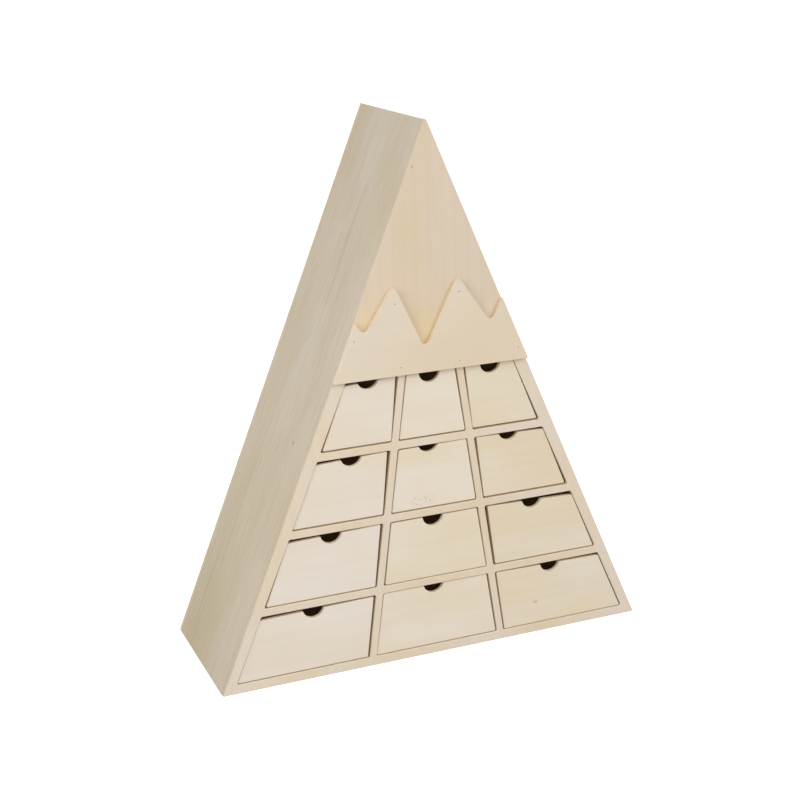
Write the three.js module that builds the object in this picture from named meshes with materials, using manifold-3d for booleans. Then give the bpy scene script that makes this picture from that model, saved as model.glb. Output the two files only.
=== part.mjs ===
// Mountain advent calendar: a tall triangular cabinet of pale wood with three drawers
// in each of four rows, and a zigzag mountain plate over the panel above them.
// Millimetres, +Z up. The drawers face -Y, and the origin is the bottom centre.

import * as THREE from 'three';
import { mergeVertices } from 'three/addons/utils/BufferGeometryUtils.js';
import Module from 'manifold-3d';

const wasm = await Module();
wasm.setup();

// The whole triangle
const footWidth = 360;
const apexHeight = 427;
const bodyDepth = 133;
const ridgeRadius = 0.4;

// Sheet and board thicknesses
const frameThick = 4;
const backThick = 4;
const plateThick = 4;
const sideThick = 7;
const baseThick = 7.3;

// Drawer bays, as the front frame shows them
const openingHeight = 52.7;
const railHeight = 6;
const dividerFace = 5.45;
const sideBorderFoot = 7.6;
const sideBorderHead = 10;
const topRail = 12;
const centreBayFoot = 108;
const centreBayHead = 42.5;
const bayCorner = 1.5;
const frameCorner = 0.5;

// Panel above the drawers and the mountain plate on it
const capOverhang = 0.6;
const capTipRadius = 1.5;
const plateOverhang = 0.35;
const plateLift = 0.7;
const peakRound = 3.3;
const valleyRound = 4.5;
const plateCorner = 0.8;
const leftEnd = { x: -64, rise: 47.8 };
const leftValley = { x: -54.6, rise: 33.8 };
const leftPeak = { x: -30.2, rise: 70.9 };
const middleValley = { x: -5.8, rise: 17 };
const rightPeak = { x: 22, rise: 71.9 };
const rightValley = { x: 49.3, rise: 31.7 };
const rightEnd = { x: 60, rise: 52 };

// Drawers. The rows run from the bottom one up, and each from left to right. Every front is
// trimmed by hand: the gaps under it, beside its foot and its head, and over its two upper
// corners, and its notch's centre, along and up from the middle of its top edge.
const rows = [
  [
    {
      gap: { under: 0.7, leftFoot: 0.45, leftHead: 0.3, rightFoot: 1.7, rightHead: 1.95,
        overLeft: 3.5, overRight: 1.4 },
      notch: { shift: -3, raise: 1.9 },
    },
    {
      gap: { under: 0.6, leftFoot: 0.3, leftHead: 0.85, rightFoot: 1.15, rightHead: 1.55,
        overLeft: 0.7, overRight: 0.7 },
      notch: { shift: -1.6, raise: 1.8 },
    },
    {
      gap: { under: 0.5, leftFoot: 1.35, leftHead: 1.65, rightFoot: 1.05, rightHead: 0.85,
        overLeft: 1.1, overRight: 2.9 },
      notch: { shift: 2, raise: 1.8 },
    },
  ],
  [
    {
      gap: { under: 0.8, leftFoot: 1.6, leftHead: 0.3, rightFoot: 1.5, rightHead: 2.35,
        overLeft: 3.3, overRight: 0.7 },
      notch: { shift: -2.6, raise: 1.6 },
    },
    {
      gap: { under: 0.5, leftFoot: 1.45, leftHead: 1.15, rightFoot: 0.65, rightHead: 1.1,
        overLeft: 1.4, overRight: 1 },
      notch: { shift: -1.2, raise: 0.7 },
    },
    {
      gap: { under: 0.9, leftFoot: 2.15, leftHead: 2.95, rightFoot: 1.35, rightHead: 0.4,
        overLeft: 1.4, overRight: 4.1 },
      notch: { shift: 1.4, raise: 2.5 },
    },
  ],
  [
    {
      gap: { under: 1.2, leftFoot: 0.35, leftHead: 0.3, rightFoot: 1.25, rightHead: 2.9,
        overLeft: 3.1, overRight: 0.7 },
      notch: { shift: -0.2, raise: 2.5 },
    },
    {
      gap: { under: 1, leftFoot: 0.8, leftHead: 1.15, rightFoot: 0.8, rightHead: 1,
        overLeft: 1.4, overRight: 0.5 },
      notch: { shift: -3.6, raise: 3.4 },
    },
    {
      gap: { under: 1.4, leftFoot: 1, leftHead: 2.3, rightFoot: 2.05, rightHead: 0.4,
        overLeft: 0.7, overRight: 2.5 },
      notch: { shift: -1.2, raise: 3.3 },
    },
  ],
  [
    {
      gap: { under: 1.2, leftFoot: 1.85, leftHead: 0.3, rightFoot: 0.35, rightHead: 2.3,
        overLeft: 3.1, overRight: 0.45 },
      notch: { shift: -1.6, raise: 2.9 },
    },
    {
      gap: { under: 1.1, leftFoot: 0.75, leftHead: 1.15, rightFoot: 0.75, rightHead: 1.4,
        overLeft: 0.8, overRight: 0.45 },
      notch: { shift: -1.1, raise: 0.5 },
    },
    {
      gap: { under: 1.5, leftFoot: 0.35, leftHead: 1.85, rightFoot: 1.65, rightHead: 0.3,
        overLeft: 0.45, overRight: 0.5 },
      notch: { shift: 1, raise: 0.8 },
    },
  ],
];
const drawerRecess = 0.8;
const drawerFrontThick = 4;
const runGap = 0.4;
const drawerCorner = 1;
const notchRadius = 8.7;
const trayInset = 0.9;
const trayWall = 3;
const trayFloor = 3;
const rimDrop = 3;
const backRoom = 12;

// Joints between the fixed boards
const slantGap = 0.3;
const lapGap = 0.3;

// Brads
const bradRadius = 0.55;
const bradGap = 0.25;
const bradSink = 0.3;
const plateBradLength = 7;
const longBradLength = 12.5;
const leftPeakBrad = { shift: 0.7, drop: 15.2 };
const rightPeakBrad = { shift: 0.9, drop: 12.2 };
const leftFootBrad = { x: -26.2, rise: 6.4 };
const rightFootBrad = { x: 22.5, rise: 5.4 };
const leftEdgeBrad = { inset: 3.9, rise: 30.8 };
const rightEdgeBrad = { inset: 3.9, rise: 9.4 };
const capBrad = { inset: 2.9, drop: 34.3 };
const sideBradDepth = 33.5;

// Finishes
const frontWood = { color: 0xd9cbb2, roughness: 0.7 };
const boardWood = { color: 0xccbda8, roughness: 0.75 };
const plateWood = { color: 0xddceb6, roughness: 0.7 };
const drawerWood = { color: 0xe0d2bb, roughness: 0.7 };
const trayWood = { color: 0xd3c4aa, roughness: 0.8 };
const steel = { color: 0x8d8272, roughness: 0.45, metalness: 0.8 };

// Depth planes, front to back
const frontPlane = (plateThick - bodyDepth) / 2;
const boardFront = frontPlane + frameThick;
const backPlane = frontPlane + bodyDepth;
const boardBack = backPlane - backThick;
const lapPlane = (boardFront + boardBack) / 2;

// Heights
const rowPitch = openingHeight + railHeight;
const rowBottom = (row) => baseThick + row * rowPitch;
const rowTop = (row) => rowBottom(row) + openingHeight;
const baysTop = rowTop(rows.length - 1);
const frameTop = baysTop + topRail;
const plateFoot = baysTop + plateLift;

// Half the triangle's width at height z, inset square to its sloping edge
const slantStretch = Math.hypot(footWidth / 2, apexHeight) / apexHeight;
function halfWidth(z, inset = 0) {
  return (footWidth / 2) * (1 - z / apexHeight) - inset * slantStretch;
}

// Height at which the inset triangle comes to its point
function pointHeight(inset = 0) {
  return apexHeight * (1 - (2 * inset * slantStretch) / footWidth);
}

function centreHalf(z) {
  const narrowing = (centreBayFoot - centreBayHead) / baysTop;
  return (centreBayFoot - narrowing * z) / 2;
}

// Left and right edges of a bay at height z. Side is -1, 0 or 1 from left to right.
function bayEdges(side, z) {
  const inner = centreHalf(z) + dividerFace;
  const border = THREE.MathUtils.mapLinear(z, 0, baysTop, sideBorderFoot, sideBorderHead);
  const outer = halfWidth(z, border);
  if (side < 0) {
    return [-outer, -inner];
  }
  if (side > 0) {
    return [inner, outer];
  }
  return [-centreHalf(z), centreHalf(z)];
}

// An outline with rounded corners from a list of [x, z, radius]
function roundCorners(corners, steps = 5) {
  const outline = [];
  corners.forEach(([x, z, radius = 0], i) => {
    const corner = new THREE.Vector2(x, z);
    if (radius === 0) {
      outline.push(corner);
      return;
    }
    const before = corners.at(i - 1);
    const after = corners[(i + 1) % corners.length];
    const back = new THREE.Vector2(before[0] - x, before[1] - z).normalize();
    const on = new THREE.Vector2(after[0] - x, after[1] - z).normalize();
    const half = Math.acos(THREE.MathUtils.clamp(back.dot(on), -1, 1)) / 2;
    const inward = back.clone().add(on).normalize();
    const centre = corner.clone().addScaledVector(inward, radius / Math.sin(half));
    const reach = radius / Math.tan(half);
    const first = corner.clone().addScaledVector(back, reach).sub(centre);
    const last = corner.clone().addScaledVector(on, reach).sub(centre);
    const start = first.angle();
    let sweep = last.angle() - start;
    if (sweep > Math.PI) {
      sweep -= 2 * Math.PI;
    }
    if (sweep < -Math.PI) {
      sweep += 2 * Math.PI;
    }
    for (let k = 0; k <= steps; k += 1) {
      const turn = start + (sweep * k) / steps;
      outline.push(new THREE.Vector2(
        centre.x + radius * Math.cos(turn),
        centre.y + radius * Math.sin(turn),
      ));
    }
  });
  return outline;
}

// A closed sheet: an outline in X and Z that runs from one depth plane to another
function sheet(outline, yFront, yBack, holes = []) {
  const shape = new THREE.Shape(outline);
  shape.holes = holes.map((hole) => new THREE.Path(hole));
  const geometry = new THREE.ExtrudeGeometry(shape, { depth: 1, bevelEnabled: false });
  const position = geometry.attributes.position;
  for (let i = 0; i < position.count; i += 1) {
    const x = position.getX(i);
    const z = position.getY(i);
    const y = position.getZ(i) > 0.5 ? yFront : yBack;
    position.setXYZ(i, x, y, z);
  }
  geometry.computeVertexNormals();
  return geometry;
}

function box(x0, x1, yFront, yBack, z0, z1) {
  return sheet(roundCorners([[x0, z0], [x1, z0], [x1, z1], [x0, z1]]), yFront, yBack);
}

// A board between two slanted edges, with its ends on two heights
function slantedSheet(edges, z0, z1, yFront, yBack) {
  const [left0, right0] = edges(z0);
  const [left1, right1] = edges(z1);
  const corners = [[left0, z0], [right0, z0], [right1, z1], [left1, z1]];
  return sheet(roundCorners(corners), yFront, yBack);
}

function toSolid(geometry) {
  const bare = geometry.clone();
  bare.deleteAttribute('normal');
  bare.deleteAttribute('uv');
  const merged = mergeVertices(bare);
  return new wasm.Manifold(new wasm.Mesh({
    numProp: 3,
    vertProperties: Float32Array.from(merged.attributes.position.array),
    triVerts: Uint32Array.from(merged.index.array),
  }));
}

function toGeometry(solid) {
  const mesh = solid.getMesh();
  const geometry = new THREE.BufferGeometry();
  geometry.setAttribute('position', new THREE.BufferAttribute(mesh.vertProperties, 3));
  geometry.setIndex(new THREE.BufferAttribute(mesh.triVerts, 1));
  geometry.computeVertexNormals();
  return geometry;
}

function cut(geometry, ...tools) {
  let solid = toSolid(geometry);
  for (const tool of tools) {
    solid = solid.subtract(toSolid(tool));
  }
  return toGeometry(solid);
}

function keep(geometry, region) {
  return toGeometry(toSolid(geometry).intersect(toSolid(region)));
}

const calendar = new THREE.Group();

function add(name, geometry, finish) {
  const mesh = new THREE.Mesh(geometry, new THREE.MeshStandardMaterial(finish));
  mesh.name = name;
  calendar.add(mesh);
  return mesh;
}

// Brads: each is a plain pin from a surface point along a direction into the wood
const brads = [];

function brad(name, x, y, z, direction, length, drilled) {
  brads.push({ name, head: new THREE.Vector3(x, y, z), direction, length, drilled });
}

function pin(entry, radius, start, end) {
  const geometry = new THREE.CylinderGeometry(radius, radius, end - start, 12);
  const turn = new THREE.Quaternion().setFromUnitVectors(
    new THREE.Vector3(0, 1, 0),
    entry.direction,
  );
  const middle = entry.head.clone().addScaledVector(entry.direction, (start + end) / 2);
  geometry.applyQuaternion(turn);
  geometry.translate(middle.x, middle.y, middle.z);
  return geometry;
}

function drill(name, geometry) {
  const bores = brads
    .filter((entry) => entry.drilled.includes(name))
    .map((entry) => pin(entry, bradRadius + bradGap, -1, entry.length + bradSink + bradGap));
  return bores.length > 0 ? cut(geometry, ...bores) : geometry;
}

const inwards = new THREE.Vector3(0, 1, 0);
const plateFace = frontPlane - plateThick;
[[leftPeak, leftPeakBrad], [rightPeak, rightPeakBrad]].forEach(([peak, { shift, drop }], i) => {
  const name = `brad_plate_peak_${i + 1}`;
  brad(name, peak.x + shift, plateFace, plateFoot + peak.rise - drop, inwards, plateBradLength,
    ['mountain_plate', 'cap_panel']);
});
[leftFootBrad, rightFootBrad].forEach(({ x, rise }, i) => {
  const name = `brad_plate_foot_${i + 1}`;
  brad(name, x, plateFace, plateFoot + rise, inwards, plateBradLength,
    ['mountain_plate', 'front_frame']);
});
const leftBradZ = plateFoot + leftEdgeBrad.rise;
const leftBradX = -halfWidth(leftBradZ, leftEdgeBrad.inset);
brad('brad_plate_edge_left', leftBradX, plateFace, leftBradZ, inwards, plateBradLength,
  ['mountain_plate', 'cap_panel']);
const rightBradZ = plateFoot + rightEdgeBrad.rise;
const rightBradX = halfWidth(rightBradZ, rightEdgeBrad.inset);
brad('brad_plate_edge_right', rightBradX, plateFace, rightBradZ, inwards, plateBradLength,
  ['mountain_plate', 'front_frame']);
const capBradZ = apexHeight - capBrad.drop;
const capBradX = -halfWidth(capBradZ, capBrad.inset);
brad('brad_cap', capBradX, frontPlane, capBradZ, inwards, longBradLength,
  ['cap_panel', 'left_side_board']);

// The side brad runs square to the sloping board into the end of the shelf behind it
const bradShelf = rows.length - 1;
const bradShelfMiddle = rowBottom(bradShelf) - railHeight / 2;
const squareIn = new THREE.Vector3(apexHeight, 0, -footWidth / 2).normalize();
const sideBradZ = bradShelfMiddle - (sideThick + 1.5) * squareIn.z;
brad('brad_side', -halfWidth(sideBradZ), boardFront + sideBradDepth - frameThick, sideBradZ,
  squareIn, longBradLength, ['left_side_board', `shelf_${bradShelf}`]);

for (const entry of brads) {
  add(entry.name, pin(entry, bradRadius, bradSink, entry.length), steel);
}

// Triangular outline of the cabinet with its rounded ridge
function triangle(inset, radius, foot = 0) {
  return roundCorners([
    [-halfWidth(foot, inset), foot],
    [halfWidth(foot, inset), foot],
    [0, pointHeight(inset), radius],
  ]);
}

// Two side boards, mitred at the ridge
const roof = cut(
  sheet(triangle(0, ridgeRadius), boardFront, boardBack),
  sheet(triangle(sideThick, 0, -1), boardFront - 1, boardBack + 1),
);
const leftHalf = box(-footWidth, 0, boardFront - 1, boardBack + 1, -1, apexHeight + 1);
const rightHalf = box(0, footWidth, boardFront - 1, boardBack + 1, -1, apexHeight + 1);
add('left_side_board', drill('left_side_board', keep(roof, leftHalf)), boardWood);
add('right_side_board', drill('right_side_board', keep(roof, rightHalf)), boardWood);

// Base board and shelves between the side boards
const boardEnds = (z) => {
  const reach = halfWidth(z, sideThick + slantGap);
  return [-reach, reach];
};
add('base_board', slantedSheet(boardEnds, 0, baseThick, boardFront, boardBack), boardWood);

const dividerEdges = (side, spread) => (z) => {
  const near = side * (centreHalf(z) - spread);
  const far = side * (centreHalf(z) + dividerFace + spread);
  return side < 0 ? [far, near] : [near, far];
};

for (let shelf = 1; shelf < rows.length; shelf += 1) {
  const top = rowBottom(shelf);
  const bottom = top - railHeight;
  const board = slantedSheet(boardEnds, bottom, top, boardFront, boardBack);
  const slots = [-1, 1].map((side) => slantedSheet(
    dividerEdges(side, lapGap), bottom - 1, top + 1, lapPlane - lapGap / 2, boardBack + 1,
  ));
  add(`shelf_${shelf}`, drill(`shelf_${shelf}`, cut(board, ...slots)), boardWood);
}
const ceiling = slantedSheet(boardEnds, baysTop, baysTop + railHeight, boardFront, boardBack);
add('ceiling_board', ceiling, boardWood);

// Two slanted dividers, cross-lapped with the shelves
for (const side of [-1, 1]) {
  const name = side < 0 ? 'divider_left' : 'divider_right';
  const board = slantedSheet(dividerEdges(side, 0), baseThick, baysTop, boardFront, boardBack);
  const slots = rows.slice(1).map((drawers, i) => {
    const top = rowBottom(i + 1);
    return box(-footWidth, footWidth, boardFront - 1, lapPlane + lapGap / 2,
      top - railHeight - lapGap, top + lapGap);
  });
  add(name, cut(board, ...slots), boardWood);
}

// Back panel, the whole triangle
add('back_panel', sheet(triangle(0, ridgeRadius), boardBack, backPlane), boardWood);

// Front frame with a window for every drawer
const windows = rows.flatMap((drawers, i) => [-1, 0, 1].map((side) => {
  const [left0, right0] = bayEdges(side, rowBottom(i));
  const [left1, right1] = bayEdges(side, rowTop(i));
  return roundCorners([
    [left0, rowBottom(i), bayCorner],
    [right0, rowBottom(i), bayCorner],
    [right1, rowTop(i), bayCorner],
    [left1, rowTop(i), bayCorner],
  ]);
}));
const frameOutline = roundCorners([
  [-halfWidth(0), 0, frameCorner],
  [halfWidth(0), 0, frameCorner],
  [halfWidth(frameTop), frameTop],
  [-halfWidth(frameTop), frameTop],
]);
const frame = sheet(frameOutline, frontPlane, boardFront, windows);
add('front_frame', drill('front_frame', frame), frontWood);

// Cap panel above the frame, a little wider than the boards behind it
const capOutline = triangle(-capOverhang, capTipRadius, frameTop);
const cap = sheet(capOutline, frontPlane, boardFront);
add('cap_panel', drill('cap_panel', cap), frontWood);

// Mountain plate: a zigzag top edge, trimmed to the slope of the cabinet
const crest = (point, radius = 0) => [point.x, plateFoot + point.rise, radius];
const zigzag = roundCorners([
  [-footWidth, plateFoot],
  [footWidth, plateFoot],
  crest({ ...rightEnd, x: footWidth }),
  crest(rightEnd),
  crest(rightValley, valleyRound),
  crest(rightPeak, peakRound),
  crest(middleValley, valleyRound),
  crest(leftPeak, peakRound),
  crest(leftValley, valleyRound),
  crest(leftEnd),
  crest({ ...leftEnd, x: -footWidth }),
]);
const trim = roundCorners([
  [-halfWidth(plateFoot, -plateOverhang), plateFoot, plateCorner],
  [halfWidth(plateFoot, -plateOverhang), plateFoot, plateCorner],
  [0, pointHeight(-plateOverhang)],
]);
const plate = keep(
  sheet(zigzag, plateFace, frontPlane),
  sheet(trim, plateFace - 1, frontPlane + 1),
);
add('mountain_plate', drill('mountain_plate', plate), plateWood);

// Drawers: a notched front, a floor and a tray of two sides and a back
const drawerFace = frontPlane + drawerRecess;
const drawerBack = drawerFace + drawerFrontThick;
const trayBack = boardBack - backRoom;

function addDrawer(number, row, side) {
  const name = `drawer_${String(number).padStart(2, '0')}`;
  const { gap, notch } = rows[row][side + 1];
  const foot = rowBottom(row) + gap.under;
  const leftZ = rowTop(row) - gap.overLeft;
  const rightZ = rowTop(row) - gap.overRight;
  const footLeft = bayEdges(side, foot)[0] + gap.leftFoot;
  const footRight = bayEdges(side, foot)[1] - gap.rightFoot;
  const headLeft = bayEdges(side, leftZ)[0] + gap.leftHead;
  const headRight = bayEdges(side, rightZ)[1] - gap.rightHead;
  const corners = [
    [footLeft, foot, drawerCorner],
    [footRight, foot, drawerCorner],
    [headRight, rightZ, drawerCorner],
    [headLeft, leftZ, drawerCorner],
  ];

  const notchX = (headLeft + headRight) / 2 + notch.shift;
  const notchZ = THREE.MathUtils.mapLinear(notchX, headLeft, headRight, leftZ, rightZ)
    + notch.raise;
  const cutter = new THREE.CylinderGeometry(notchRadius, notchRadius, drawerFrontThick + 2, 64);
  cutter.translate(notchX, (drawerFace + drawerBack) / 2, notchZ);
  const front = cut(sheet(roundCorners(corners), drawerFace, drawerBack), cutter);
  add(`${name}_front`, front, drawerWood);

  const walls = (inset) => (z) => [
    THREE.MathUtils.mapLinear(z, foot, leftZ, footLeft, headLeft) + inset,
    THREE.MathUtils.mapLinear(z, foot, rightZ, footRight, headRight) - inset,
  ];
  const trayFoot = rowBottom(row) + runGap;
  const floorTop = trayFoot + trayFloor;
  const rim = Math.min(leftZ, rightZ) - rimDrop;
  const inside = trayInset + trayWall;
  const tray = cut(
    slantedSheet(walls(trayInset), floorTop, rim, drawerBack, trayBack),
    slantedSheet(walls(inside), floorTop - 1, rim + 1, drawerBack - 1, trayBack - trayWall),
  );
  add(`${name}_tray`, tray, trayWood);
  const floor = slantedSheet(walls(trayInset), trayFoot, floorTop, drawerBack, trayBack);
  add(`${name}_floor`, floor, trayWood);
}

rows.forEach((entry, row) => {
  const first = (rows.length - 1 - row) * 3 + 1;
  [-1, 0, 1].forEach((side, i) => addDrawer(first + i, row, side));
});

export default calendar;
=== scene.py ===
import math
import bmesh
import bpy
from mathutils import Matrix, Vector


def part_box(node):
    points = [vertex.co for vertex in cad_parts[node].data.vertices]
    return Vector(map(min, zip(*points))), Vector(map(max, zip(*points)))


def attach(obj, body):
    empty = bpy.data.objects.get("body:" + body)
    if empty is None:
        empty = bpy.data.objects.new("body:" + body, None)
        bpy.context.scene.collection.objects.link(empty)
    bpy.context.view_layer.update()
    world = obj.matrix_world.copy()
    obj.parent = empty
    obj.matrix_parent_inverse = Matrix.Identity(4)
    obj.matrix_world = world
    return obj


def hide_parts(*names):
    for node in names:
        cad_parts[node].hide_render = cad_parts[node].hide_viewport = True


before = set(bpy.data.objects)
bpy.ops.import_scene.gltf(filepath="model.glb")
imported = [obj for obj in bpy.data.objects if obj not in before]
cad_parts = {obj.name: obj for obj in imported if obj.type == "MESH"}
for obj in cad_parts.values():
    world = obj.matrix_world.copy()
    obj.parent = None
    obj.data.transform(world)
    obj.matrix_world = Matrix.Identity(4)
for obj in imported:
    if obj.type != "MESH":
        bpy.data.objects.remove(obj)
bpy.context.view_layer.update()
mm = 0.001
sharpAngle = math.radians(40)
flatAngle = math.radians(1)
facingFront = (math.pi / 2, 0, 0)

# The cabinet's own sizes in millimetres: x to the right, z up, y to the back
cabinet = {
    "footWidth": 360,
    "apexHeight": 427,
    "frontY": -64.5,
    "sheet": 4,
    "rowFeet": (7.3, 66, 124.7, 183.4),
    "openingHeight": 52.7,
    "frameTop": 248.1,
    "sideBorderFoot": 7.6,
    "sideBorderHead": 10,
    "dividerFace": 5.45,
    "centreFoot": 108,
    "centreHead": 42.5,
    "baysTop": 236.1,
}
slope = math.atan2(cabinet["footWidth"] / 2, cabinet["apexHeight"])


def halfWidth(z, inset=0):
    return cabinet["footWidth"] / 2 * (1 - z / cabinet["apexHeight"]) - inset / math.cos(slope)


def centreHalf(z):
    narrowing = (cabinet["centreFoot"] - cabinet["centreHead"]) / cabinet["baysTop"]
    return (cabinet["centreFoot"] - narrowing * z) / 2


def bayEdges(side, z):  # left and right edge of a drawer bay, side -1, 0 or 1
    inner = centreHalf(z) + cabinet["dividerFace"]
    growth = cabinet["sideBorderHead"] - cabinet["sideBorderFoot"]
    outer = halfWidth(z, cabinet["sideBorderFoot"] + growth * z / cabinet["baysTop"])
    return {-1: (-outer, -inner), 0: (-centreHalf(z), centreHalf(z)), 1: (inner, outer)}[side]


# Selecting and shaping

shaping = {  # millimetres, but the touch in metres
    "blankMargin": 40,
    "cornerTouch": 2e-5,
    "easeSegments": 3,
    "roundSegments": 4,
}


def deselectAll():
    if bpy.context.object and bpy.context.object.mode != "OBJECT":
        bpy.ops.object.mode_set(mode="OBJECT")
    bpy.ops.object.select_all(action="DESELECT")


def choose(piece):
    deselectAll()
    piece.select_set(True)
    bpy.context.view_layer.objects.active = piece


def edit(piece):
    choose(piece)
    bpy.ops.object.mode_set(mode="EDIT")


def pick(piece, kind, test):  # selects the edges or faces that pass the test
    modes = {"edges": "EDGE", "faces": "FACE"}
    bpy.ops.mesh.select_mode(type=modes[kind])
    bpy.ops.mesh.select_all(action="DESELECT")
    shape = bmesh.from_edit_mesh(piece.data)
    for item in getattr(shape, kind):
        if test(item):
            item.select_set(True)
    bmesh.update_edit_mesh(piece.data)


def faceMiddle(face):  # x and z in millimetres
    middle = face.calc_center_median()
    return middle.x / mm, middle.z / mm


def applyAll(piece):
    choose(piece)
    for modifier in list(piece.modifiers):
        bpy.ops.object.modifier_apply(modifier=modifier.name)


def sawLine(piece, start, end, clear):  # a saw cut along x, z points; clear drops its right side
    edit(piece)
    bpy.ops.mesh.select_all(action="SELECT")
    (x0, z0), (x1, z1) = start, end
    square = Vector((z1 - z0, 0, x0 - x1)).normalized()
    bpy.ops.mesh.bisect(plane_co=(x0 * mm, 0, z0 * mm), plane_no=square, clear_outer=clear)
    bpy.ops.object.mode_set(mode="OBJECT")


def sawBlank(name, corners, y):  # a flat blank sawn along the edges of a convex outline
    deselectAll()
    xs, zs = zip(*corners)
    middle = ((min(xs) + max(xs)) / 2 * mm, y * mm, (min(zs) + max(zs)) / 2 * mm)
    bpy.ops.mesh.primitive_plane_add(size=1, location=middle, rotation=facingFront)
    piece = bpy.context.object
    piece.name = name
    margin = shaping["blankMargin"]
    piece.scale = ((max(xs) - min(xs) + margin) * mm, (max(zs) - min(zs) + margin) * mm, 1)
    bpy.ops.object.transform_apply(location=True, rotation=True, scale=True)
    for start, end in zip(corners, corners[1:] + corners[:1]):
        sawLine(piece, start, end, clear=True)
    return piece


def thicken(piece, depth):
    edit(piece)
    bpy.ops.mesh.select_all(action="SELECT")
    bpy.ops.mesh.extrude_region_move(TRANSFORM_OT_translate={"value": (0, depth * mm, 0)})
    bpy.ops.mesh.select_all(action="SELECT")
    bpy.ops.mesh.normals_make_consistent(inside=False)
    bpy.ops.object.mode_set(mode="OBJECT")


def roundPicked(offset, segments):  # rounds the picked edges, offset in metres, and ends the edit
    bpy.ops.mesh.bevel(offset=offset, segments=segments, affect="EDGES", clamp_overlap=False)
    bpy.ops.object.mode_set(mode="OBJECT")


def roundCorner(piece, corner, radius, halfAngle, segments):
    x, z = corner[0] * mm, corner[1] * mm
    edit(piece)

    def onCorner(edge):
        return all(math.hypot(v.co.x - x, v.co.z - z) < shaping["cornerTouch"] for v in edge.verts)

    pick(piece, "edges", onCorner)
    roundPicked(radius * mm / math.tan(halfAngle), segments)


def cornerAngle(before, corner, after):  # half the angle between the two edges at a corner
    back = Vector((before[0] - corner[0], before[1] - corner[1]))
    on = Vector((after[0] - corner[0], after[1] - corner[1]))
    return back.angle(on) / 2


def roundOutline(piece, corners, radii, segments=shaping["roundSegments"]):
    count = len(corners)
    for i, corner in enumerate(corners):
        if radii[i]:
            half = cornerAngle(corners[i - 1], corner, corners[(i + 1) % count])
            roundCorner(piece, corner, radii[i], half, segments)


def addCylinder(place, radius, depth, sides):  # lies along y, radius and depth in millimetres
    bpy.ops.mesh.primitive_cylinder_add(vertices=sides, radius=radius * mm, depth=depth * mm,
                                        rotation=facingFront, location=place)
    return bpy.context.object


def cutAway(piece, cutter):
    bpy.ops.object.transform_apply(location=True, rotation=True, scale=True)
    boolean = piece.modifiers.new("cut", "BOOLEAN")
    boolean.operation = "DIFFERENCE"
    boolean.solver = "EXACT"
    boolean.object = cutter
    applyAll(piece)
    bpy.data.objects.remove(cutter)


def addBevel(piece, width, segments):
    bevel = piece.modifiers.new("ease", "BEVEL")
    bevel.width = width * mm
    bevel.segments = segments
    bevel.limit_method = "ANGLE"
    bevel.angle_limit = sharpAngle
    return bevel


def easeEdges(piece, width):  # sanded edges, flat faces kept flat
    bevel = addBevel(piece, width, shaping["easeSegments"])
    bevel.use_clamp_overlap = False
    weighted = piece.modifiers.new("flat faces", "WEIGHTED_NORMAL")
    weighted.keep_sharp = True


def finishPiece(piece, slot, body, *nodes):
    choose(piece)
    bpy.ops.object.shade_smooth_by_angle(angle=sharpAngle)
    applyAll(piece)
    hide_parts(*nodes)
    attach(piece, body)


def paintFaces(piece, material, test):  # gives the faces that pass the test a second material
    piece.data.materials.append(material)
    index = len(piece.data.materials) - 1
    for face in piece.data.polygons:
        if test(face):
            face.material_index = index


# Camera at the photograph's place, floor, light

view = {
    "place": (-0.43791, -1.10838, 0.56065),
    "turn": (72.94875, 1.70787, -22.03917),
    "lens": 69.4,
    "sensor": 36,
    "farEnd": 100,
}
stage = {
    "floorSize": 40,
    "floorDrop": 0.0002,
    "floorColour": (0.62, 0.61, 0.60, 1),
    "floorLift": 0.72,
    "white": (1, 1, 1, 1),
    "ambient": 0.60,
}
lamps = {
    "key": {"place": (1.4, -2.35, 1.75), "aim": (0, 0, 0.2), "size": 2.1, "power": 43},
    "fill": {"place": (-1.9, -0.9, 1.1), "aim": (0, 0, 0.2), "size": 1.3, "power": 12},
    "near": {"place": (-0.45, -0.25, 0.42), "aim": (-0.08, 0, 0.25), "size": 0.25, "power": 0.42},
}


def addNode(tree, kind, **values):  # values are the node's own settings or its inputs
    node = tree.nodes.new(kind)
    for key, value in values.items():
        if hasattr(node, key):
            setattr(node, key, value)
        else:
            node.inputs[key].default_value = value
    return node


def feed(tree, value, socket):  # links another node's output, or sets a plain value
    if isinstance(value, bpy.types.NodeSocket):
        tree.links.new(value, socket)
    else:
        socket.default_value = value


def calculate(tree, operation, *values):
    node = addNode(tree, "ShaderNodeMath", operation=operation)
    for value, socket in zip(values, node.inputs):
        feed(tree, value, socket)
    return node.outputs[0]


def buildCamera():
    data = bpy.data.cameras.new("camera")
    data.lens = view["lens"]
    data.sensor_width = view["sensor"]
    data.clip_end = view["farEnd"]
    camera = bpy.data.objects.new("camera", data)
    camera.location = view["place"]
    camera.rotation_euler = [math.radians(turn) for turn in view["turn"]]
    bpy.context.scene.collection.objects.link(camera)
    bpy.context.scene.camera = camera
    bpy.context.scene.view_settings.view_transform = "Standard"


def mixSeen(tree, lighting, seen, out):  # seen is for rays that meet the backdrop itself
    path = tree.nodes.new("ShaderNodeLightPath").outputs
    either = calculate(tree, "MAXIMUM", path["Is Camera Ray"], path["Is Glossy Ray"])
    direct = calculate(tree, "MAXIMUM", either, path["Is Transmission Ray"])
    mix = tree.nodes.new("ShaderNodeMixShader")
    for value, socket in zip((direct, lighting, seen), mix.inputs):
        feed(tree, value, socket)
    feed(tree, mix.outputs[0], out.inputs["Surface"])


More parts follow.
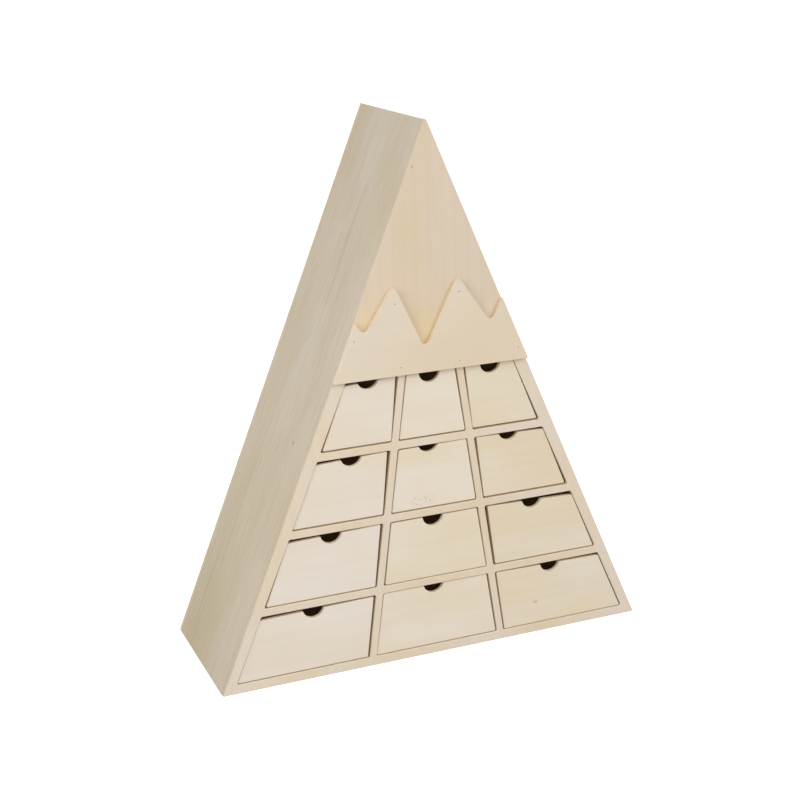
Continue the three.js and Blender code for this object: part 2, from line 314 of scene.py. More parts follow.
def buildFloor():
    deselectAll()
    bpy.ops.mesh.primitive_plane_add(size=stage["floorSize"], location=(0, 0, -stage["floorDrop"]))
    floor = bpy.context.object
    floor.name = "floor"
    material = bpy.data.materials.new("floorPaper")
    material.use_nodes = True
    tree = material.node_tree
    tree.nodes.clear()
    out = tree.nodes.new("ShaderNodeOutputMaterial")
    paper = addNode(tree, "ShaderNodeBsdfDiffuse", Color=stage["floorColour"])
    glow = addNode(tree, "ShaderNodeEmission", Strength=stage["floorLift"])
    both = tree.nodes.new("ShaderNodeAddShader")
    feed(tree, paper.outputs[0], both.inputs[0])
    feed(tree, glow.outputs[0], both.inputs[1])
    mixSeen(tree, paper.outputs[0], both.outputs[0], out)
    floor.data.materials.append(material)


def buildBackdrop():
    world = bpy.data.worlds.new("studio")
    bpy.context.scene.world = world
    world.use_nodes = True
    tree = world.node_tree
    tree.nodes.clear()
    out = tree.nodes.new("ShaderNodeOutputWorld")
    bright = addNode(tree, "ShaderNodeBackground", Color=stage["white"], Strength=1)
    soft = addNode(tree, "ShaderNodeBackground", Color=stage["white"], Strength=stage["ambient"])
    mixSeen(tree, soft.outputs[0], bright.outputs[0], out)


def buildLamps():
    for name, lamp in lamps.items():
        data = bpy.data.lights.new(name, "AREA")
        data.shape = "SQUARE"
        data.size = lamp["size"]
        data.energy = lamp["power"]
        light = bpy.data.objects.new(name, data)
        light.location = lamp["place"]
        light.visible_camera = False
        aim = Vector(lamp["aim"]) - light.location
        light.rotation_euler = aim.to_track_quat("-Z", "Y").to_euler()
        bpy.context.scene.collection.objects.link(light)


buildCamera()
buildFloor()
buildBackdrop()
buildLamps()
print("camera, floor and light are set")


# Wood finishes

def tone(red, green, blue):  # a colour as it is read off a screen, 0 to 255
    def straighten(value):
        value = value / 255
        return value / 12.92 if value <= 0.04045 else ((value + 0.055) / 1.055) ** 2.4
    return (straighten(red), straighten(green), straighten(blue), 1)


woodLooks = {
    "drawerPale": {
        "pale": tone(226, 217, 206), "warm": tone(223, 210, 191), "streak": tone(209, 195, 175),
        "grainTurn": 90, "seed": (0.3, 0.0, 0.1), "streaks": 0.12, "figure": 0.03, "pores": 0.05,
    },
    "drawerCream": {
        "pale": tone(228, 218, 204), "warm": tone(223, 209, 183), "streak": tone(208, 193, 169),
        "grainTurn": 90, "seed": (1.3, 0.4, 0.7), "streaks": 0.13, "figure": 0.04, "pores": 0.05,
    },
    "drawerSand": {
        "pale": tone(224, 213, 195), "warm": tone(222, 206, 178), "streak": tone(204, 189, 161),
        "grainTurn": 90, "seed": (2.1, 0.9, 0.2), "streaks": 0.13, "figure": 0.04, "pores": 0.05,
    },
    "frontSheet": {
        "pale": tone(221, 208, 192), "warm": tone(219, 203, 177), "streak": tone(202, 185, 159),
        "grainTurn": 0, "seed": (0.7, 1.4, 0.0), "streaks": 0.14, "figure": 0.05, "pores": 0.05,
    },
    "capSheet": {
        "pale": tone(213, 197, 177), "warm": tone(212, 194, 162), "streak": tone(200, 180, 150),
        "grainTurn": 0, "seed": (1.9, 0.2, 1.1), "streaks": 0.1, "figure": 0.12, "pores": 0.05,
    },
    "plateSheet": {
        "pale": tone(219, 206, 187), "warm": tone(218, 202, 176), "streak": tone(203, 187, 160),
        "grainTurn": 90, "seed": (0.1, 2.2, 1.8), "streaks": 0.10, "figure": 0.03, "pores": 0.04,
    },
    "boardLeft": {
        "pale": tone(209, 197, 179), "warm": tone(204, 189, 163), "streak": tone(178, 162, 137),
        "grainTurn": -math.degrees(slope), "seed": (0.5, 0.3, 2.0), "streaks": 0.4, "figure": 0.06,
        "pores": 0.2, "fineness": (0.3, 0.28), "fibres": 0.3,
    },
    "boardRight": {
        "pale": tone(210, 197, 179), "warm": tone(204, 188, 162), "streak": tone(178, 162, 136),
        "grainTurn": math.degrees(slope), "seed": (2.5, 1.3, 0.4), "streaks": 0.4, "figure": 0.06,
        "pores": 0.2, "fineness": (0.3, 0.28), "fibres": 0.3,
    },
    "boardFlat": {
        "pale": tone(214, 200, 178), "warm": tone(208, 190, 160), "streak": tone(188, 170, 140),
        "grainTurn": 90, "seed": (0.9, 0.6, 1.0), "streaks": 0.4, "figure": 0.15, "pores": 0.2,
        # inner is a painted glow, a faint brown emission for the light deep in the closed bays
        "inner": tone(13, 8, 5),
    },
    "backSheet": {
        "pale": tone(216, 201, 178), "warm": tone(212, 193, 160), "streak": tone(192, 172, 140),
        "grainTurn": 0, "seed": (3.1, 0.6, 1.7), "streaks": 0.3, "figure": 0.25, "pores": 0.2,
    },
    "trayStrip": {
        "pale": tone(218, 204, 182), "warm": tone(214, 196, 166), "streak": tone(194, 176, 146),
        "grainTurn": 90, "seed": (1.1, 2.6, 0.3), "streaks": 0.35, "figure": 0.12, "pores": 0.2,
        # inner is a painted glow, a faint brown emission for the light deep in the closed bays
        "inner": tone(13, 8, 5),
    },
}
woodSpots = {  # small marks of single pieces, and patches of painted light and shade, in metres
    "drawerCream": [
        {"at": (-0.0090, -0.0637, 0.1318), "reach": (0.016, 0.01, 0.005),
         "colour": tone(186, 158, 118), "strength": 0.85, "speck": 0.0017},
    ],
    "drawerSand": [
        {"at": (0.0883, -0.0637, 0.0264), "reach": (0.0026, 0.01, 0.0016),
         "colour": tone(176, 148, 112), "strength": 0.6},
    ],
    "capSheet": [  # warm light that the pale edges throw into the valleys
        {"at": (-0.006, -0.0645, 0.260), "reach": (0.013, 0.01, 0.026),
         "colour": tone(229, 203, 166), "strength": 0.5},
        {"at": (-0.055, -0.0645, 0.276), "reach": (0.012, 0.01, 0.020),
         "colour": tone(229, 203, 166), "strength": 0.5},
        {"at": (0.049, -0.0645, 0.274), "reach": (0.011, 0.01, 0.018),
         "colour": tone(226, 204, 172), "strength": 0.4},
        {"at": (-0.028, -0.0645, 0.285), "reach": (0.05, 0.01, 0.05),
         "colour": tone(222, 199, 164), "strength": 0.3},
    ],
    "boardLeft": [  # veins along the board, painted shade darkening its foot, and the stain round the side brad
        {"at": (-0.13, 0.0285, 0.115), "reach": (1, 0.0014, 0.10),
         "colour": tone(196, 168, 122), "strength": 0.6},
        {"at": (-0.165, 0.0405, 0.045), "reach": (1, 0.0018, 0.05),
         "colour": tone(164, 148, 116), "strength": 0.6},
        {"at": (-0.165, 0.0335, 0.02), "reach": (1, 0.0012, 0.05),
         "colour": tone(166, 150, 118), "strength": 0.55},
        {"at": (-0.04, 0.0, 0.33), "reach": (1, 0.004, 0.07),
         "colour": tone(176, 162, 142), "strength": 0.3},
        {"at": (-0.06, -0.018, 0.30), "reach": (1, 0.0026, 0.06),
         "colour": tone(176, 162, 142), "strength": 0.3},
        # painted shade: the board's foot darkened, where less light reaches
        {"at": (-0.165, 0.035, 0.03), "reach": (0.08, 0.07, 0.10),
         "colour": tone(186, 174, 140), "strength": 0.38},
        {"at": (-0.1023, -0.031, 0.1836), "reach": (0.0026, 0.0026, 0.0026),
         "colour": tone(146, 122, 92), "strength": 0.42},
    ],
}
grain = {  # sizes in metres: across the grain twice, then along it
    "blotch": (0.05, 0.05, 0.12),
    "streak": (0.0045, 0.006, 0.16),
    "streakBend": 0.4,
    "fibre": (0.0006, 0.0006, 0.014),
    "fibres": 0.12,
    "figure": (0.030, 0.030, 0.30),
    "pore": (0.0011, 0.0011, 0.006),
    "poreColour": tone(160, 136, 104),
    "roughness": (0.62, 0.78),
    "shine": 0.25,
    "bump": 0.2,
    "bumpDepth": 0.0002,
    # edges and creases: wear, and painted shade along the edges and in the creases
    "edgeReach": 0.0011,
    "edgeSamples": 6,
    "edgeShade": 0.35,
    "edgeWearAndShadeColour": tone(196, 172, 138),
    "edgeWearAndShade": (0.4, 1.0),
}
figureWave = {"Scale": 0.9, "Distortion": 5.0, "Detail": 2.0, "Detail Scale": 0.7}
shown = {  # the values of each pattern at which it starts to show and shows in full
    "blotch": (0.35, 0.65),
    "streak": (0.45, 0.75),
    "figure": (0.55, 1.0),
    "fibre": (0.5, 0.8),
    "pore": (0.70, 0.78),
    "middle": (0.3, 0.7),
    "edge": (1.0, 0.75),
    "spot": (1.0, 0.3),
    "speck": (0.58, 0.68),
}


def mixColour(tree, amount, first, second):
    mix = addNode(tree, "ShaderNodeMix", data_type="RGBA")
    for value, socket in ((amount, mix.inputs[0]), (first, mix.inputs[6]), (second, mix.inputs[7])):
        feed(tree, value, socket)
    return mix.outputs[2]


def spread(tree, value, fromRange, toRange=(0.0, 1.0)):  # maps one range of values to another
    node = addNode(tree, "ShaderNodeMapRange", clamp=True)
    feed(tree, value, node.inputs["Value"])
    for key, number in zip(("From Min", "From Max", "To Min", "To Max"), (*fromRange, *toRange)):
        node.inputs[key].default_value = number
    return node.outputs[0]


def vectorMath(tree, operation, vector, other):
    node = addNode(tree, "ShaderNodeVectorMath", operation=operation)
    feed(tree, vector, node.inputs[0])
    feed(tree, other, node.inputs[1])
    return node


def stretchedNoise(tree, vector, size, detail, distortion=0.0):
    stretch = vectorMath(tree, "DIVIDE", vector, size)
    noise = addNode(tree, "ShaderNodeTexNoise", Scale=1, Detail=detail, Distortion=distortion)
    feed(tree, stretch.outputs[0], noise.inputs["Vector"])
    return noise.outputs["Fac"]


def edgeMask(tree):  # 1 on sharp edges, fading to 0 on the flat
    rounded = addNode(tree, "ShaderNodeBevel", samples=grain["edgeSamples"], Radius=grain["edgeReach"])
    flat = tree.nodes.new("ShaderNodeNewGeometry")
    match = vectorMath(tree, "DOT_PRODUCT", rounded.outputs[0], flat.outputs["Normal"])
    return spread(tree, match.outputs["Value"], shown["edge"])


def startMaterial(name):
    material = bpy.data.materials.new(name)
    material.use_nodes = True
    tree = material.node_tree
    tree.nodes.clear()
    out = tree.nodes.new("ShaderNodeOutputMaterial")
    shader = addNode(tree, "ShaderNodeBsdfPrincipled")
    feed(tree, shader.outputs[0], out.inputs["Surface"])
    where = tree.nodes.new("ShaderNodeTexCoord").outputs["Object"]
    return material, tree, shader, where


def roughen(tree, shader, height, strength, depth):
    bump = addNode(tree, "ShaderNodeBump", Strength=strength, Distance=depth)
    feed(tree, height, bump.inputs["Height"])
    feed(tree, bump.outputs[0], shader.inputs["Normal"])


def spotMask(tree, where, spot):  # a soft patch round a point on the surface
    away = vectorMath(tree, "SUBTRACT", where, spot["at"])
    scaled = vectorMath(tree, "DIVIDE", away.outputs[0], spot["reach"])
    far = addNode(tree, "ShaderNodeVectorMath", operation="LENGTH")
    feed(tree, scaled.outputs[0], far.inputs[0])
    patch = spread(tree, far.outputs["Value"], shown["spot"])
    if "speck" in spot:
        specks = stretchedNoise(tree, where, (spot["speck"],) * 3, 1)
        patch = calculate(tree, "MULTIPLY", patch, spread(tree, specks, shown["speck"]))
    return calculate(tree, "MULTIPLY", patch, spot["strength"])


def buildWood(name, look, spots=()):
    material, tree, shader, where = startMaterial(name)
    turned = addNode(tree, "ShaderNodeMapping", Location=look["seed"],
                     Rotation=(0, math.radians(look["grainTurn"]), 0))
    feed(tree, where, turned.inputs["Vector"])
    along = turned.outputs[0]

    across, length = look.get("fineness", (1, 1))
    wide, deep, long = grain["streak"]
    streakSize = (wide * across, deep * across, long * length)
    blotch = stretchedNoise(tree, along, grain["blotch"], 2)
    streak = stretchedNoise(tree, along, streakSize, 4, grain["streakBend"])
    fibre = stretchedNoise(tree, along, grain["fibre"], 2)
    pore = stretchedNoise(tree, along, grain["pore"], 1)
    figure = addNode(tree, "ShaderNodeTexWave", wave_type="BANDS", bands_direction="X", **figureWave)
    stretch = vectorMath(tree, "DIVIDE", along, grain["figure"])
    feed(tree, stretch.outputs[0], figure.inputs["Vector"])

    colour = mixColour(tree, spread(tree, blotch, shown["blotch"]), look["pale"], look["warm"])
    layers = (
        (streak, "streak", look["streaks"], look["streak"]),
        (figure.outputs["Fac"], "figure", look["figure"], look["streak"]),
        (fibre, "fibre", look.get("fibres", grain["fibres"]), look["streak"]),
        (pore, "pore", look["pores"], grain["poreColour"]),
    )
    for pattern, kind, amount, hue in layers:
        colour = mixColour(tree, spread(tree, pattern, shown[kind], (0, amount)), colour, hue)
    # sharp edges and creases darkened towards a brown: wear, and painted shade along the edges and in the
    # creases
    wearAndShadeSpread = spread(tree, streak, shown["middle"], grain["edgeWearAndShade"])
    wornAndShadedEdge = calculate(tree, "MULTIPLY", edgeMask(tree), wearAndShadeSpread)
    wornAndShadedEdge = calculate(tree, "MULTIPLY", wornAndShadedEdge, grain["edgeShade"])
    colour = mixColour(tree, wornAndShadedEdge, colour, grain["edgeWearAndShadeColour"])
    for spot in spots:
        colour = mixColour(tree, spotMask(tree, where, spot), colour, spot["colour"])
    feed(tree, colour, shader.inputs["Base Color"])

    feed(tree, spread(tree, fibre, shown["middle"], grain["roughness"]), shader.inputs["Roughness"])
    shader.inputs["Specular IOR Level"].default_value = grain["shine"]
    if "inner" in look:  # painted glow: a faint brown emission standing in for the light that reaches deep into the closed bays
        shader.inputs["Emission Color"].default_value = look["inner"]
        shader.inputs["Emission Strength"].default_value = 1
    height = calculate(tree, "ADD", fibre, streak)
    roughen(tree, shader, height, grain["bump"], grain["bumpDepth"])
    return material


cutEdge = {  # the sawn edge of thin three-ply, in metres
    "skin": tone(233, 219, 193),
    "core": tone(226, 207, 176),
    "burnAndShade": tone(176, 146, 110),
    "halfCore": 0.00065,
    "blurOut": 0.00012,
    "blurIn": 0.00008,
    "endGrain": (0.0009, 0.0005, 0.0009),
    "coreDepth": (0.5, 1.0),
    "drift": (0.012, 0.012, 0.012),
    "driftShown": (0.4, 0.7),
    "roughness": (0.7, 0.88),
    "shine": 0.15,
    "bump": 0.35,
    "bumpDepth": 0.0002,
}
bradLook = {
    "pale": tone(196, 184, 164),
    "dark": tone(166, 150, 126),
    "grain": (0.0003, 0.0003, 0.0003),
    "grainShown": (0.4, 0.65),
    "roughness": (0.4, 0.6),
    "metallic": 0.3,
    "bump": 0.3,
    "bumpDepth": 0.00005,
}


def buildCutEdge(name, front, burnAndShade=0.1):  # front is the y of the sheet's face in millimetres
    material, tree, shader, where = startMaterial(name)
    split = tree.nodes.new("ShaderNodeSeparateXYZ")
    feed(tree, where, split.inputs[0])
    middle = (front + cabinet["sheet"] / 2) * mm
    away = calculate(tree, "SUBTRACT", split.outputs["Y"], middle)
    core = (cutEdge["halfCore"] + cutEdge["blurOut"], cutEdge["halfCore"] - cutEdge["blurIn"])
    inCore = spread(tree, calculate(tree, "ABSOLUTE", away), core)
    ends = stretchedNoise(tree, where, cutEdge["endGrain"], 2)
    drift = stretchedNoise(tree, where, cutEdge["drift"], 2)
    coreDepth = spread(tree, ends, shown["middle"], cutEdge["coreDepth"])
    inCore = calculate(tree, "MULTIPLY", inCore, coreDepth)
    colour = mixColour(tree, inCore, cutEdge["skin"], cutEdge["core"])
    # laser burn along the cut edges; the drawer foot's large amount makes it painted shade
    burntAndShaded = spread(tree, drift, cutEdge["driftShown"], (burnAndShade * 0.5, burnAndShade))
    colour = mixColour(tree, burntAndShaded, colour, cutEdge["burnAndShade"])
    feed(tree, colour, shader.inputs["Base Color"])
    feed(tree, spread(tree, ends, shown["middle"], cutEdge["roughness"]), shader.inputs["Roughness"])
    shader.inputs["Specular IOR Level"].default_value = cutEdge["shine"]
    roughen(tree, shader, ends, cutEdge["bump"], cutEdge["bumpDepth"])
    return material


def buildSteel():
    material, tree, shader, where = startMaterial("bradSteel")
    dull = stretchedNoise(tree, where, bradLook["grain"], 2)
    tarnish = spread(tree, dull, bradLook["grainShown"])
    feed(tree, mixColour(tree, tarnish, bradLook["pale"], bradLook["dark"]), shader.inputs["Base Color"])
    feed(tree, spread(tree, dull, shown["middle"], bradLook["roughness"]), shader.inputs["Roughness"])
    shader.inputs["Metallic"].default_value = bradLook["metallic"]
    roughen(tree, shader, dull, bradLook["bump"], bradLook["bumpDepth"])
    return material


wood = {name: buildWood(name, look, woodSpots.get(name, ())) for name, look in woodLooks.items()}
frameEdge = buildCutEdge("frameCutEdge", cabinet["frontY"])
steel = buildSteel()
print("wood and steel finishes are mixed")


# Front frame: one sheet with a window for each drawer

frontFrame = {"footCorner": 0.5, "windowCorner": 1.5, "ease": 0.35, "slopeEase": 1.0}
slopeTest = {  # millimetres from the slope, and how far a face may turn
    "faceReach": 1.6,
    "edgeReach": 0.7,
    "frontReach": 0.01,
    "ends": 1,
    "notFront": 0.9,
    "through": 0.5,
}


def inBay(x, z):
    for foot in cabinet["rowFeet"]:
        if foot < z < foot + cabinet["openingHeight"]:
            for side in (-1, 0, 1):
                left, right = bayEdges(side, z)
                if left < x < right:
                    return True
    return False


def isCut(face):  # faces that run through the sheet's thickness
    return abs(face.normal.y) < slopeTest["through"]


def onSlope(face):  # faces that lie in the cabinet's outer slopes
    x, _, z = face.center / mm
    turned = abs(face.normal.y) < slopeTest["notFront"] and abs(face.normal.x) > slopeTest["through"]
    return turned and abs(x) > halfWidth(z) - slopeTest["faceReach"]


def paintSlopes(piece):
    paintFaces(piece, wood["boardLeft"], lambda face: onSlope(face) and face.normal.x < 0)
    paintFaces(piece, wood["boardRight"], lambda face: onSlope(face) and face.normal.x > 0)


def frontOf(piece):
    return min(v.co.y for v in piece.data.vertices) / mm


def softenSlopes(piece, width, z0, z1):  # rounds the outer slopes' front edges
    edit(piece)

    def onFrontEdge(edge):
        ends = [v.co / mm for v in edge.verts]
        if abs(ends[0].z - ends[1].z) <= slopeTest["ends"]:
            return False
        return all(abs(p.y - frontOf(piece)) < slopeTest["frontReach"] and z0 < p.z < z1
                   and abs(abs(p.x) - halfWidth(p.z)) < slopeTest["edgeReach"] for p in ends)

    pick(piece, "edges", onFrontEdge)
    roundPicked(width * mm, shaping["roundSegments"])


def buildFrontFrame():
    top, head = cabinet["frameTop"], cabinet["baysTop"]
    wide = halfWidth(0)
    corners = [(-wide, 0), (wide, 0), (halfWidth(top), top), (-halfWidth(top), top)]
    piece = sawBlank("frontFrame", corners, cabinet["frontY"])
    for foot in cabinet["rowFeet"]:
        for z in (foot, foot + cabinet["openingHeight"]):
            sawLine(piece, (-wide, z), (wide, z), clear=False)
    for side in (-1, 1):
        for foot, up in zip(bayEdges(side, 0), bayEdges(side, head)):
            sawLine(piece, (foot, 0), (up, head), clear=False)
        sawLine(piece, (side * centreHalf(0), 0), (side * centreHalf(head), head), clear=False)
    edit(piece)
    pick(piece, "faces", lambda face: inBay(*faceMiddle(face)))
    bpy.ops.mesh.delete(type="FACE")
    bpy.ops.object.mode_set(mode="OBJECT")
    thicken(piece, cabinet["sheet"])
    for foot in cabinet["rowFeet"]:
        up = foot + cabinet["openingHeight"]
        for side in (-1, 0, 1):
            (l0, r0), (l1, r1) = bayEdges(side, foot), bayEdges(side, up)
            window = [(l0, foot), (r0, foot), (r1, up), (l1, up)]
            roundOutline(piece, window, [frontFrame["windowCorner"]] * 4)
    roundOutline(piece, corners, [frontFrame["footCorner"]] * 2 + [0, 0])
    softenSlopes(piece, frontFrame["slopeEase"], slopeTest["ends"], top + slopeTest["ends"])
    piece.data.materials.append(wood["frontSheet"])
    paintFaces(piece, frameEdge, isCut)
    paintSlopes(piece)
    easeEdges(piece, frontFrame["ease"])
    finishPiece(piece, "front_ply", "cabinet", "front_frame")


buildFrontFrame()
print("front frame is sawn")


# Cap panel and mountain plate

capPanel = {"overhang": 0.6, "tip": 1.5, "tipSegments": 6, "ease": 0.3, "slopeEase": 1.0}
mountain = {
    "foot": 236.8,
    "blankHeight": 75,
    "overhang": 0.35,
    "thick": 4,
    "ridge": [(-64, 47.8), (-54.6, 33.8), (-30.2, 70.9), (-5.8, 17), (22, 71.9), (49.3, 31.7), (60, 52)],
    "peakRound": 3.3,
    "valleyRound": 4.5,
    "ridgeSegments": 10,
    "corner": 0.8,
    "ease": 0.3,
    "edgeBurn": 0.22,
    "slopeBurn": 0.08,
}
pinHole = {"radius": 0.66, "depth": 0.6, "sides": 20}
bradPlaces = {name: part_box(name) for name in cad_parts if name.startswith("brad_")}


def pinHoles(piece, names):  # small bores where the brads go in
    front = frontOf(piece) * mm
    deselectAll()
    bores = []
    for name in names:
        low, high = bradPlaces[name]
        place = ((low[0] + high[0]) / 2, front, (low[2] + high[2]) / 2)
        bores.append(addCylinder(place, pinHole["radius"], 2 * pinHole["depth"], pinHole["sides"]))
    for bore in bores:
        bore.select_set(True)
    if len(bores) > 1:
        bpy.ops.object.join()
    cutAway(piece, bpy.context.object)


def buildCapPanel():
    foot = cabinet["frameTop"]
    wide = halfWidth(foot, -capPanel["overhang"])
    peak = cabinet["apexHeight"] * (1 + 2 * capPanel["overhang"] / math.cos(slope) / cabinet["footWidth"])
    corners = [(-wide, foot), (wide, foot), (0, peak)]
    piece = sawBlank("capPanel", corners, cabinet["frontY"])
    thicken(piece, cabinet["sheet"])
    roundOutline(piece, corners, [0, 0, capPanel["tip"]], capPanel["tipSegments"])
    softenSlopes(piece, capPanel["slopeEase"], foot - slopeTest["ends"], peak - slopeTest["ends"])
    pinHoles(piece, ["brad_cap"])
    piece.data.materials.append(wood["capSheet"])
    paintSlopes(piece)
    easeEdges(piece, capPanel["ease"])
    finishPiece(piece, "front_ply", "cabinet", "cap_panel")


def aboveRidge(x, z):
    points = [(px, mountain["foot"] + rise) for px, rise in mountain["ridge"]]
    height = points[0][1] if x < 0 else points[-1][1]
    for (x0, z0), (x1, z1) in zip(points, points[1:]):
        if x0 <= x <= x1:
            height = z0 + (z1 - z0) * (x - x0) / (x1 - x0)
            break
    return z > height


def buildMountainPlate():
    foot, front = mountain["foot"], cabinet["frontY"] - mountain["thick"]
    top = foot + mountain["blankHeight"]
    wide, narrow = (halfWidth(z, -mountain["overhang"]) for z in (foot, top))
    corners = [(-wide, foot), (wide, foot), (narrow, top), (-narrow, top)]
    piece = sawBlank("mountainPlate", corners, front)
    ridge = [(x, foot + rise) for x, rise in mountain["ridge"]]
    for start, end in zip(ridge, ridge[1:]):
        sawLine(piece, start, end, clear=False)
    edit(piece)
    pick(piece, "faces", lambda face: aboveRidge(*faceMiddle(face)))
    bpy.ops.mesh.delete(type="FACE")
    bpy.ops.mesh.select_all(action="SELECT")
    bpy.ops.mesh.dissolve_limited(angle_limit=flatAngle)
    bpy.ops.object.mode_set(mode="OBJECT")
    thicken(piece, mountain["thick"])
    for i in range(1, len(ridge) - 1):
        half = cornerAngle(ridge[i - 1], ridge[i], ridge[i + 1])
        radius = mountain["valleyRound"] if i % 2 else mountain["peakRound"]
        roundCorner(piece, ridge[i], radius, half, mountain["ridgeSegments"])
    roundOutline(piece, corners, [mountain["corner"]] * 2 + [0, 0])
    pinHoles(piece, [name for name in bradPlaces if "plate" in name])
    piece.data.materials.append(wood["plateSheet"])
    paintFaces(piece, buildCutEdge("mountainCutEdge", front, mountain["edgeBurn"]), isCut)
    paintFaces(piece, buildCutEdge("mountainSlopeEdge", front, mountain["slopeBurn"]), onSlope)
    easeEdges(piece, mountain["ease"])
    finishPiece(piece, "mountain_ply", "cabinet", "mountain_plate")


buildCapPanel()
buildMountainPlate()
print("cap and mountain plate are in place")


# Drawer fronts

drawers = {
    "recess": 0.8,
    "thick": 4,
    "corner": 1,
    "notchRadius": 8.7,
    "notchSides": 96,
    "notchSpare": 4,
    "ease": 0.45,
    "footEase": 1,
    # how strongly the rounded edge under each front is darkened: painted shade
    "footPaintedShade": 0.5,
}
# Gaps: under, left foot, left head, right foot, right head, over left, over right.
# Then the notch's centre: its shift along the top edge and its rise over it.
drawerTrim = {
    1: (1.2, 1.85, 0.12, 0.35, 2.3, 3.1, 0.45, -1.6, 2.9),
    2: (1.1, 0.75, 1.15, 0.75, 1.4, 0.8, 0.45, -1.1, 0.5),
    3: (1.5, 0.35, 1.85, 1.65, 0.3, 0.45, 0.5, 1, 0.8),
    4: (1.2, 0.35, 0.12, 1.25, 2.9, 3.1, 0.7, -0.2, 2.5),
    5: (1, 0.8, 1.15, 0.8, 1, 1.4, 0.5, -3.6, 3.4),
    6: (1.4, 1, 2.3, 2.05, 0.4, 0.7, 2.5, -1.2, 3.3),
    7: (0.8, 1.6, 0.12, 1.5, 2.35, 3.3, 0.7, -2.6, 1.6),
    8: (0.5, 1.45, 1.15, 0.65, 1.1, 1.4, 1, -1.2, 0.7),
    9: (0.9, 2.15, 2.95, 1.35, 0.4, 1.4, 4.1, 1.4, 2.5),
    10: (0.7, 0.45, 0.12, 1.7, 1.95, 3.5, 1.4, -3, 1.9),
    11: (0.6, 0.3, 0.85, 1.15, 1.55, 0.7, 0.7, -1.6, 1.8),
    12: (0.5, 1.35, 1.65, 1.05, 0.85, 1.1, 2.9, 2, 1.8),
}
drawerFinish = {-1: "drawerPale", 0: "drawerCream", 1: "drawerSand"}
drawerFace = cabinet["frontY"] + drawers["recess"]
drawerEdge = buildCutEdge("drawerCutEdge", drawerFace)
# painted shade: the cut-edge look with heavy burn colour, for the shaded band along the rounded foot of
# each front
drawerFootShade = buildCutEdge("drawerFootEdgePaintedShade", drawerFace, drawers["footPaintedShade"])


def easeFoot(piece, foot):  # rounds the front edge under a drawer front
    edit(piece)

    def onFoot(edge):
        return all(abs(v.co.y - drawerFace * mm) < 1e-6 and abs(v.co.z - foot * mm) < 1e-6
                   for v in edge.verts)

    pick(piece, "edges", onFoot)
    roundPicked(drawers["footEase"] * mm, shaping["roundSegments"])


def buildDrawerFront(number, row, side):
    under, leftFoot, leftHead, rightFoot, rightHead, overLeft, overRight, shift, rise = drawerTrim[number]
    foot = cabinet["rowFeet"][row] + under
    head = cabinet["rowFeet"][row] + cabinet["openingHeight"]
    leftZ, rightZ = head - overLeft, head - overRight
    corners = [
        (bayEdges(side, foot)[0] + leftFoot, foot),
        (bayEdges(side, foot)[1] - rightFoot, foot),
        (bayEdges(side, rightZ)[1] - rightHead, rightZ),
        (bayEdges(side, leftZ)[0] + leftHead, leftZ),
    ]
    piece = sawBlank(f"drawerFront{number:02d}", corners, drawerFace)
    thicken(piece, drawers["thick"])
    roundOutline(piece, corners, [drawers["corner"]] * 4)
    easeFoot(piece, foot)
    (rx, rz), (lx, lz) = corners[2], corners[3]
    x = (lx + rx) / 2 + shift
    z = lz + (rz - lz) * (x - lx) / (rx - lx) + rise
    deselectAll()
    place = (x * mm, (drawerFace + drawers["thick"] / 2) * mm, z * mm)
    depth = drawers["thick"] + drawers["notchSpare"]
    cutAway(piece, addCylinder(place, drawers["notchRadius"], depth, drawers["notchSides"]))
    piece.data.materials.clear()
    piece.data.materials.append(wood[drawerFinish[side]])
    paintFaces(piece, drawerEdge, isCut)
    # painted shade on the faces of the rounded foot
    paintFaces(piece, drawerFootShade, lambda face: -0.999 < face.normal.z < -0.1)
    easeEdges(piece, drawers["ease"])
    finishPiece(piece, "drawer_front_wood", f"drawer_{number:02d}", f"drawer_{number:02d}_front")


for row in range(4):
    for i, side in enumerate((-1, 0, 1)):
        buildDrawerFront((3 - row) * 3 + 1 + i, row, side)
print("twelve drawer fronts are notched")


# Brads, one modelled and copied

bradHead = {
    "radius": 0.62,
    "thick": 0.4,
    "sides": 20,
    "dome": 0.12,
    "domeSteps": ((0.18, 0.7), (0.2, 0.3)),
    "shank": 0.45,
    "length": 6,
    "sideReach": 6.1,
}


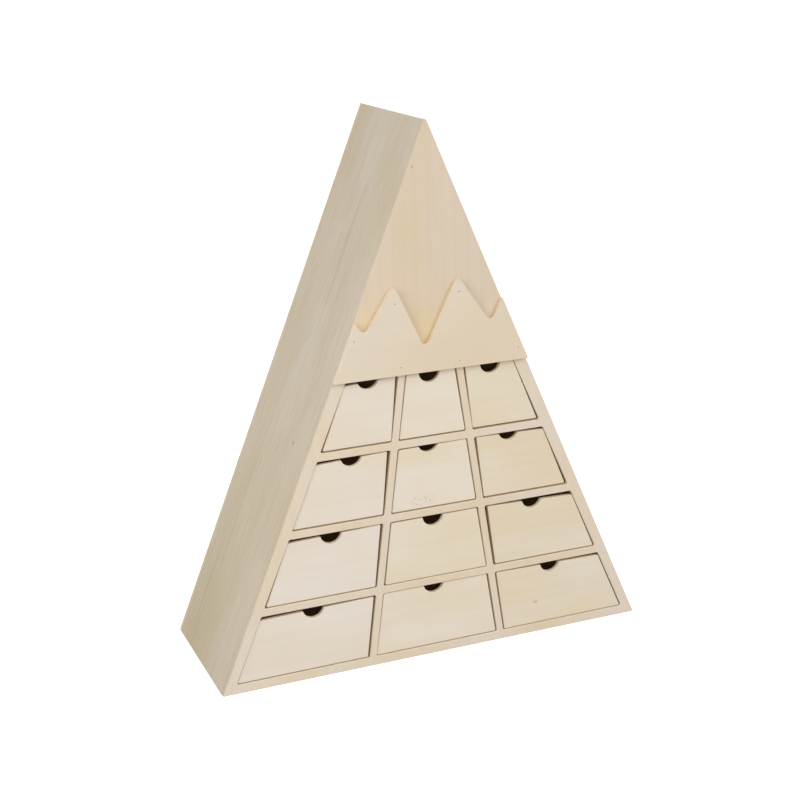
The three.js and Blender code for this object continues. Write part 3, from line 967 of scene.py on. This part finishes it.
def modelBrad():
    deselectAll()
    bpy.ops.mesh.primitive_cylinder_add(vertices=bradHead["sides"], radius=bradHead["radius"] * mm,
                                        depth=bradHead["thick"] * mm)
    model = bpy.context.object
    edit(model)
    pick(model, "faces", lambda face: face.normal.z > 0.9)
    for inset, share in bradHead["domeSteps"]:
        bpy.ops.mesh.inset(thickness=inset * mm)
        bpy.ops.transform.translate(value=(0, 0, bradHead["dome"] * mm * share))
    pick(model, "faces", lambda face: face.normal.z < -0.9)
    bpy.ops.mesh.inset(thickness=(bradHead["radius"] - bradHead["shank"]) * mm)
    bpy.ops.mesh.extrude_region_move(TRANSFORM_OT_translate={"value": (0, 0, -bradHead["length"] * mm)})
    bpy.ops.object.mode_set(mode="OBJECT")
    model.data.materials.append(steel)
    return model


def buildBrads():
    model = modelBrad()
    for name, (low, high) in bradPlaces.items():
        out = Vector((0, -1, 0))
        head = Vector(((low[0] + high[0]) / 2, low[1], (low[2] + high[2]) / 2))
        if name == "brad_side":
            out = Vector((-math.cos(slope), 0, math.sin(slope)))
            head = (Vector(low) + Vector(high)) / 2 + out * bradHead["sideReach"] * mm
        sunk = head - out * (bradHead["thick"] / 2) * mm
        place = Matrix.Translation(sunk) @ out.to_track_quat("Z", "Y").to_matrix().to_4x4()
        copy = bpy.data.objects.new(name.replace("brad_", "brad-").replace("_", "-"), model.data.copy())
        copy.data.transform(place)
        bpy.context.scene.collection.objects.link(copy)
        finishPiece(copy, "brad_steel", "cabinet", name)
    bpy.data.objects.remove(model)


buildBrads()
print("brads are in")


# Boards, back and trays stay as they are made, with eased edges and their own wood

boards = {"ease": 0.25, "segments": 2, "weld": 0.00001}
rebuilt = ("front_frame", "cap_panel", "mountain_plate")
boardFinish = {  # the other boards are boardFlat
    "left_side_board": "boardLeft",
    "right_side_board": "boardRight",
    "back_panel": "backSheet",
    "divider_left": "boardLeft",
    "divider_right": "boardRight",
}


def easeBoard(node):
    weld = node.modifiers.new("weld", "WELD")
    weld.merge_threshold = boards["weld"]
    flat = node.modifiers.new("flat", "DECIMATE")
    flat.decimate_type = "DISSOLVE"
    flat.angle_limit = flatAngle
    addBevel(node, boards["ease"], boards["segments"])


for name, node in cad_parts.items():
    if name.startswith("brad_") or name.endswith("_front") or name in rebuilt:
        continue
    isTray = name.endswith(("_tray", "_floor"))
    finish = "trayStrip" if isTray else boardFinish.get(name, "boardFlat")
    node.data.materials.clear()
    node.data.materials.append(wood[finish])
    easeBoard(node)
print("boards and trays are finished")
